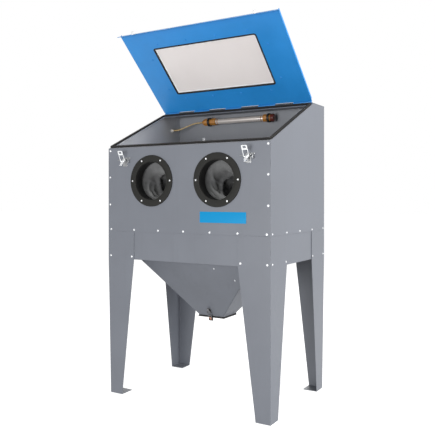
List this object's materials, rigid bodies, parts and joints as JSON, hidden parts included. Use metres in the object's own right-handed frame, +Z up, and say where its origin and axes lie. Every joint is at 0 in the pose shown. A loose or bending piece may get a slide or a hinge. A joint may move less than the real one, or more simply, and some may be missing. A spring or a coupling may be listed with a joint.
{
  "type": "sandblast cabinet",
  "caption": "Floor-standing siphon blast cabinet: steel chamber on tapered legs, sloping hinged lid with window, glove ports, hopper with trap door.",
  "frame": {"origin": "on the floor, in the middle of the cabinet's width and depth", "axes": "+X to the operator's right, +Y from the glove ports towards the back, +Z up"},
  "size_m": [0.9053, 0.7162, 1.8123],
  "materials": {
    "body_grey": "grey powder coat",
    "hopper_grey": "grey powder coat",
    "door_black": "black paint",
    "lid_blue": "blue powder coat",
    "frame_blue": "blue powder coat",
    "plate_blue": "printed blank plate",
    "seal_rubber": "matte foam rubber",
    "window_clear": "clear pane with a pale film",
    "ring_black": "matte black",
    "glove_rubber": "rubberised cloth",
    "zinc": "zinc plate",
    "latch_chrome": "bright plate",
    "catch_copper": "copper plate",
    "grate_steel": "bare steel",
    "lamp_white": "satin tube",
    "lamp_amber": "amber moulding",
    "lead_tan": "tan sheath",
    "inlet_brass": "brass",
    "gun_alloy": "cast alloy",
    "nozzle_ceramic": "fired ceramic",
    "trigger_black": "moulded"
  },
  "bodies": {
    "cabinet": {"front_panel": "body_grey", "left_panel": "body_grey", "right_panel": "body_grey", "rear_panel": "body_grey", "top_rail": "body_grey", "leg_front_right": "body_grey", "leg_front_left": "body_grey", "leg_rear_right": "body_grey", "leg_rear_left": "body_grey", "apron_front": "body_grey", "apron_rear": "body_grey", "apron_right": "body_grey", "apron_left": "body_grey", "hopper_front": "hopper_grey", "hopper_rear": "hopper_grey", "hopper_right": "hopper_grey", "hopper_left": "hopper_grey", "glove_sleeve_left": "hopper_grey", "glove_sleeve_right": "hopper_grey", "dust_outlet": "hopper_grey", "name_plate": "plate_blue", "lid_seal": "seal_rubber", "outlet_seal": "seal_rubber", "lamp_bracket": "seal_rubber", "glove_ring_left": "ring_black", "glove_ring_right": "ring_black", "glove_left": "glove_rubber", "glove_right": "glove_rubber", "hinge_leaf_fixed": "zinc", "hinge_pin": "zinc", "dump_door_pin": "zinc", "gun_hook": "zinc", "lamp_gland": "zinc", "latch_left_base": "latch_chrome", "latch_right_base": "latch_chrome", "dump_latch_base": "latch_chrome", "work_grate": "grate_steel", "lamp_tube": "lamp_white", "lamp_cap_left": "lamp_amber", "lamp_cap_right": "lamp_amber", "lamp_lead": "lead_tan", "air_inlet": "inlet_brass", "gun_body": "gun_alloy", "gun_nozzle": "nozzle_ceramic"},
    "lid": {"lid_panel": "lid_blue", "window_frame": "frame_blue", "window_seal": "seal_rubber", "window_glass": "window_clear", "hinge_leaf_lid": "zinc", "lid_keeper_left": "zinc", "lid_keeper_right": "zinc"},
    "left_lever": {"latch_left_lever": "latch_chrome"},
    "left_bail": {"latch_left_bail": "latch_chrome"},
    "right_lever": {"latch_right_lever": "latch_chrome"},
    "right_bail": {"latch_right_bail": "latch_chrome"},
    "dump_lever": {"dump_latch_lever": "latch_chrome"},
    "dump_bail": {"dump_latch_bail": "latch_chrome"},
    "dump_door": {"dump_door": "door_black", "dump_keeper": "catch_copper"},
    "trigger": {"gun_trigger": "trigger_black"}
  },
  "joints": [
    {"name": "lid_hinge", "type": "hinge", "parent": "cabinet", "child": "lid", "pos_m": [0, 0.16308, 1.44936], "axis": [-1, 0, 0], "range_deg": [-66.63, 48]},
    {"name": "left_lever_pivot", "type": "hinge", "parent": "cabinet", "child": "left_lever", "pos_m": [-0.343, -0.3243, 1.1615], "axis": [-1, 0, 0], "range_deg": [-35, 75]},
    {"name": "left_bail_pivot", "type": "hinge", "parent": "left_lever", "child": "left_bail", "pos_m": [-0.343, -0.3347, 1.15536], "axis": [-1, 0, 0], "range_deg": [-130, 61]},
    {"name": "right_lever_pivot", "type": "hinge", "parent": "cabinet", "child": "right_lever", "pos_m": [0.343, -0.3243, 1.1615], "axis": [-1, 0, 0], "range_deg": [-35, 75]},
    {"name": "right_bail_pivot", "type": "hinge", "parent": "right_lever", "child": "right_bail", "pos_m": [0.343, -0.3347, 1.15536], "axis": [-1, 0, 0], "range_deg": [-130, 61]},
    {"name": "dump_lever_pivot", "type": "hinge", "parent": "cabinet", "child": "dump_lever", "pos_m": [0, -0.08271, 0.40732], "axis": [1, 0, 0], "range_deg": [0, 110]},
    {"name": "dump_bail_pivot", "type": "hinge", "parent": "dump_lever", "child": "dump_bail", "pos_m": [0, -0.08961, 0.41221], "axis": [1, 0, 0], "range_deg": [-190, 0]},
    {"name": "dump_door_hinge", "type": "hinge", "parent": "cabinet", "child": "dump_door", "pos_m": [0, 0.072, 0.38075], "axis": [1, 0, 0], "range_deg": [0, 78]},
    {"name": "trigger_pivot", "type": "hinge", "parent": "cabinet", "child": "trigger", "pos_m": [-0.311, 0.2807, 1.24906], "axis": [0, 1, 0], "range_deg": [0, 14], "stiffness_Nm_per_rad": 0.12, "springref_deg": -6.88}
  ],
  "couplings": [
    {"joint": "left_bail_pivot", "follows": "left_lever_pivot", "ratio": -1.7143},
    {"joint": "right_bail_pivot", "follows": "right_lever_pivot", "ratio": -1.7143},
    {"joint": "dump_bail_pivot", "follows": "dump_lever_pivot", "ratio": -1.7143},
    {"joint": "dump_door_hinge", "follows": "dump_lever_pivot", "ratio": 0.7}
  ]
}
